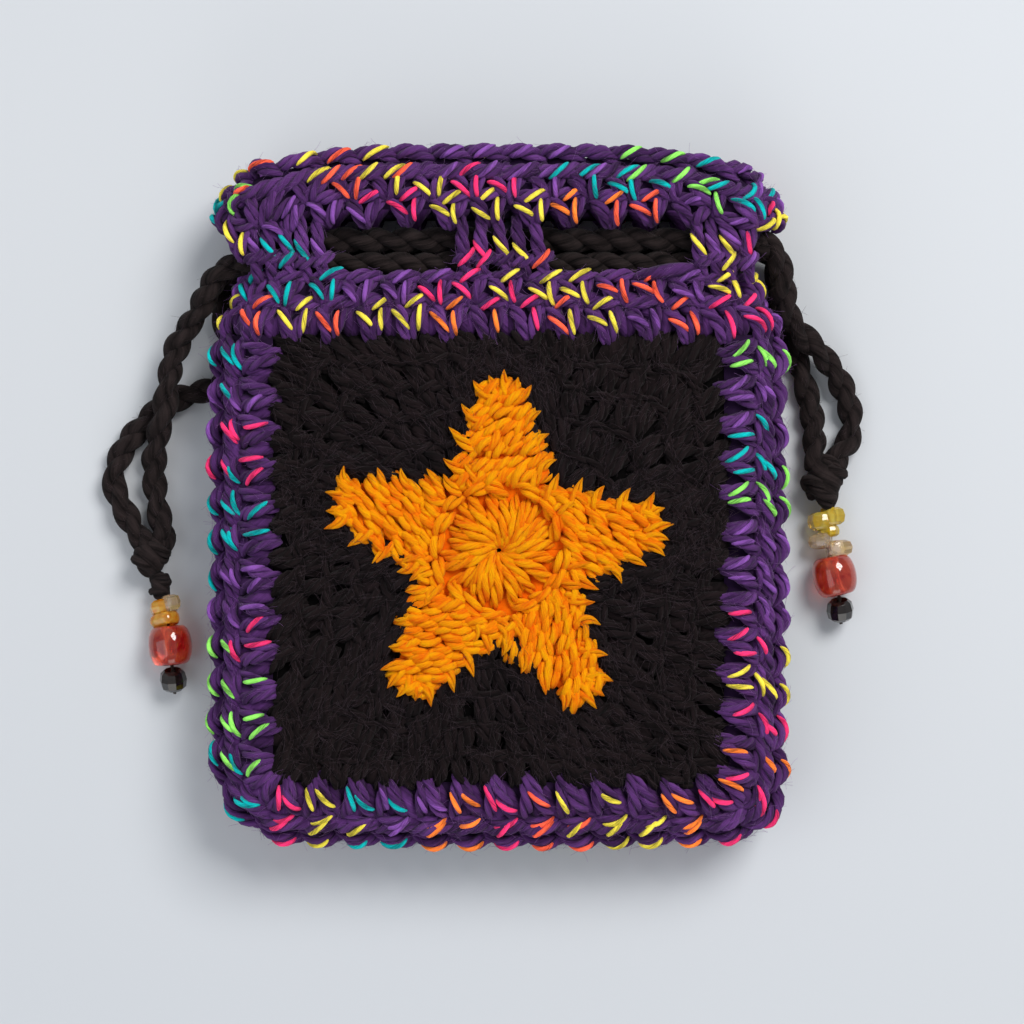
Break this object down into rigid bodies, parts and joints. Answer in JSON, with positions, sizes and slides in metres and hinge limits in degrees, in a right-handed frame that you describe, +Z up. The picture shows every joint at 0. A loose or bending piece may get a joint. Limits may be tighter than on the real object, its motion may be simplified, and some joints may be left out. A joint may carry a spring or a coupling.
{
  "type": "drawstring dice bag",
  "caption": "Crocheted drawstring pouch for tabletop dice with a star on its front, an eyelet neck, a collar, and knotted drawstrings finished with glass beads, lying flat.",
  "frame": {"origin": "middle of the bag's outline without its drawstrings, on the table under its back", "axes": "+Y towards the mouth, +Z up out of the front, +X to the right seen from the front"},
  "size_m": [0.1395, 0.124, 0.02],
  "materials": {
    "purple_yarn": "variegated purple worsted cotton with a thin neon ply, crocheted",
    "black_yarn": "fuzzy black worsted yarn, crocheted",
    "orange_yarn": "orange worsted yarn, crocheted",
    "black_cord": "twisted black yarn cord",
    "bead_thread": "dark bead thread",
    "red_glass": "polished coral red glass",
    "amber_glass": "polished amber glass",
    "yellow_glass": "polished yellow glass chips",
    "clear_glass": "polished pale glass chips",
    "black_glass": "glossy black bead"
  },
  "bodies": {
    "bag": {"star_motif": "orange_yarn", "front_field": "black_yarn", "back_field": "black_yarn", "front_border": "purple_yarn", "back_border": "purple_yarn", "joining_edge": "purple_yarn", "neck_band": "purple_yarn", "collar_back": "purple_yarn", "back_post_left": "purple_yarn", "back_post_centre": "purple_yarn", "back_post_right": "purple_yarn"},
    "mouth_flap": {"collar_front": "purple_yarn", "front_post_left": "purple_yarn", "front_post_centre": "purple_yarn", "front_post_right": "purple_yarn"},
    "left_drawstring": {"left_cord": "black_cord", "left_knot": "black_cord", "left_end_knot": "black_cord", "left_thread": "bead_thread", "left_chip_1": "amber_glass", "left_chip_2": "amber_glass", "left_amber_bead": "amber_glass"},
    "right_drawstring": {"right_cord": "black_cord", "right_knot": "black_cord", "right_thread": "bead_thread", "right_chip_1": "yellow_glass", "right_chip_2": "yellow_glass", "right_chip_3": "yellow_glass", "right_chip_4": "clear_glass", "right_chip_5": "clear_glass"},
    "left_glass": {"left_glass_bead": "red_glass"},
    "left_black": {"left_black_bead": "black_glass"},
    "right_glass": {"right_glass_bead": "red_glass"},
    "right_black": {"right_black_bead": "black_glass"}
  },
  "joints": [
    {"name": "mouth_opens", "type": "hinge", "parent": "bag", "child": "mouth_flap", "pos_m": [0, 0.0388, 0.0199], "axis": [1, 0, 0], "range_deg": [0, 32]},
    {"name": "left_pull", "type": "slide", "parent": "bag", "child": "left_drawstring", "axis": [-1, 0, 0], "range_m": [0, 0.055]},
    {"name": "right_pull", "type": "slide", "parent": "bag", "child": "right_drawstring", "axis": [1, 0, 0], "range_m": [0, 0.055]},
    {"name": "left_glass_spin", "type": "hinge", "parent": "left_drawstring", "child": "left_glass", "pos_m": [-0.06015, -0.0275, 0.00405], "axis": [0.0929, -0.9953, 0.0265], "continuous": true},
    {"name": "left_black_spin", "type": "hinge", "parent": "left_drawstring", "child": "left_black", "pos_m": [-0.05965, -0.03383, 0.00343], "axis": [0.056, -0.9611, -0.2706], "continuous": true},
    {"name": "right_glass_spin", "type": "hinge", "parent": "right_drawstring", "child": "right_glass", "pos_m": [0.0614, -0.01477, 0.00407], "axis": [0.2127, -0.9769, 0.0199], "continuous": true},
    {"name": "right_black_spin", "type": "hinge", "parent": "right_drawstring", "child": "right_black", "pos_m": [0.0625, -0.02102, 0.00343], "axis": [0.1114, -0.9566, -0.2693], "continuous": true}
  ]
}
